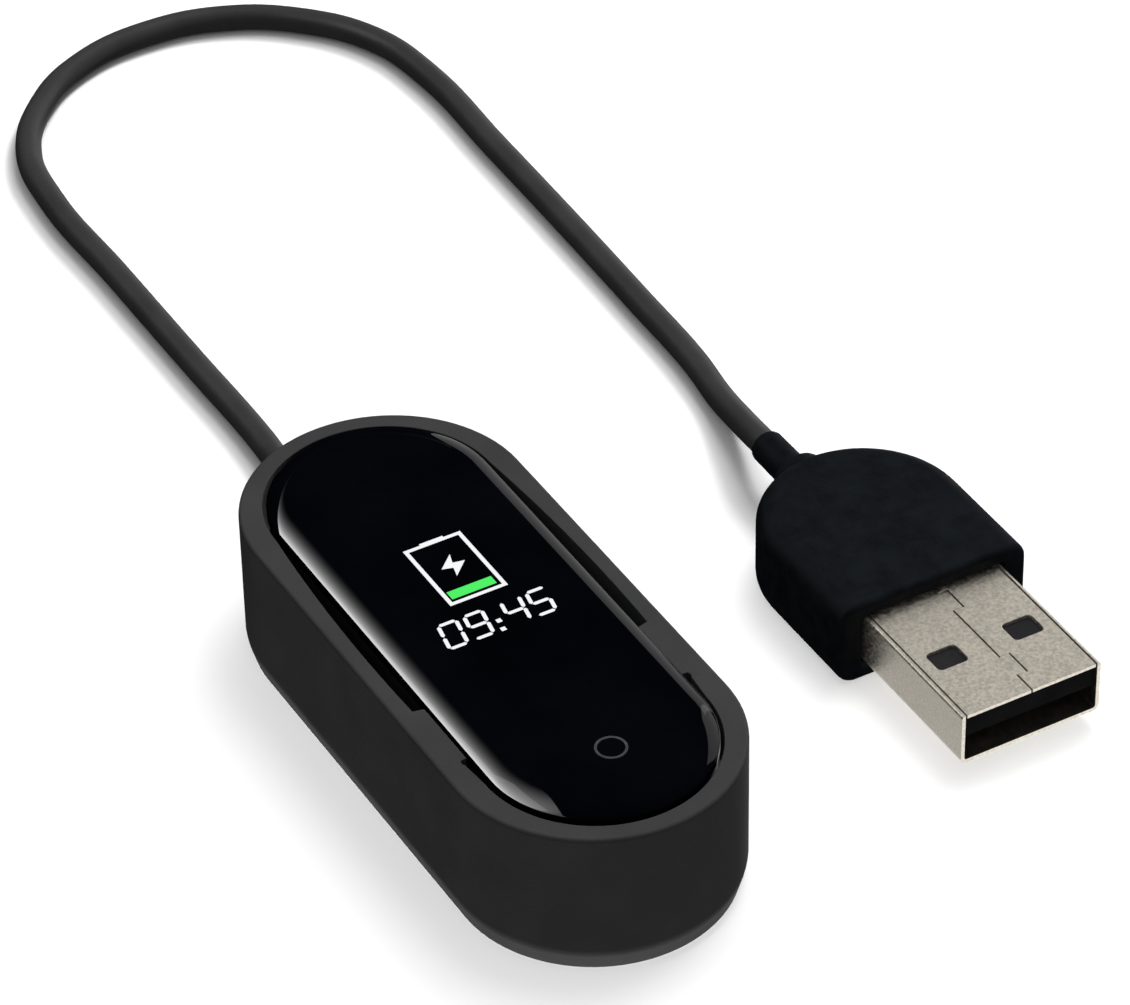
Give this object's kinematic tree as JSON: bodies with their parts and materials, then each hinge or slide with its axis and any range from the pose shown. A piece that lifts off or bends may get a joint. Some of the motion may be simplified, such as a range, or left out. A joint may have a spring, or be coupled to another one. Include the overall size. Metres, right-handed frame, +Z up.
{
  "type": "activity tracker in a corded charging cradle",
  "caption": "Pill-shaped activity tracker with a curved glass face, seated in a charging cradle with a captive cord and USB-A plug; the tracker lifts out.",
  "frame": {"origin": "middle of the cradle's underside, on the surface that it stands on", "axes": "+Y along the tracker towards the end where the cord leaves, +Z up out of the glass, +X to the side where the plug lies"},
  "size_m": [0.0527, 0.1223, 0.0132],
  "materials": {
    "cradle_plastic": "fine matte",
    "cover_plastic": "fine matte",
    "circuit_board": "solder mask",
    "gold_contact": "gold flash",
    "spring_steel": "bright",
    "wire_insulation": "smooth",
    "black_glass": "polished curved glass",
    "key_print": "thin printed line",
    "gasket_foam": "foam",
    "display": "panel",
    "case_plastic": "satin",
    "battery_foil": "foil pouch",
    "motor_weight": "sintered",
    "sensor_window": "tinted clear",
    "cord_jacket": "satin jacket",
    "grip_rubber": "soft matte",
    "core_plastic": "moulded",
    "plug_steel": "nickel plated sheet",
    "tongue_plastic": "moulded"
  },
  "bodies": {
    "cradle": {"dock_shell": "cradle_plastic", "dock_base_cover": "cover_plastic", "dock_circuit_board": "circuit_board", "pogo_barrels": "gold_contact", "pogo_spring_left": "spring_steel", "pogo_spring_right": "spring_steel", "cord_wires": "wire_insulation", "usb_cable": "cord_jacket", "plug_strain_relief": "grip_rubber", "plug_grip": "grip_rubber", "plug_core": "core_plastic", "usb_shell": "plug_steel", "usb_tongue": "tongue_plastic", "usb_contacts": "gold_contact"},
    "tracker": {"tracker_glass": "black_glass", "touch_key_ring": "key_print", "glass_gasket": "gasket_foam", "display_panel": "display", "tracker_case": "case_plastic", "tracker_main_board": "circuit_board", "tracker_battery": "battery_foil", "motor_can": "spring_steel", "motor_lid": "spring_steel", "heart_rate_window": "sensor_window", "heart_rate_sensor": "circuit_board", "charging_pads": "gold_contact"},
    "vibration_rotor": {"motor_rotor": "motor_weight"},
    "pin_left": {"pogo_pin_left": "gold_contact"},
    "pin_right": {"pogo_pin_right": "gold_contact"}
  },
  "joints": [
    {"name": "tracker_lift", "type": "slide", "parent": "cradle", "child": "tracker", "axis": [0, 0, 1], "range_m": [0, 0.02]},
    {"name": "rotor_spin", "type": "hinge", "parent": "tracker", "child": "vibration_rotor", "pos_m": [0, 0.0152, 0.0054], "axis": [0, 0, 1], "continuous": true},
    {"name": "pin_left_press", "type": "slide", "parent": "cradle", "child": "pin_left", "axis": [0, 0, 1], "range_m": [-0.0007, 0], "stiffness_N_per_m": 200, "deforming": ["pogo_spring_left"]},
    {"name": "pin_right_press", "type": "slide", "parent": "cradle", "child": "pin_right", "axis": [0, 0, 1], "range_m": [-0.0007, 0], "stiffness_N_per_m": 200, "deforming": ["pogo_spring_right"]}
  ]
}
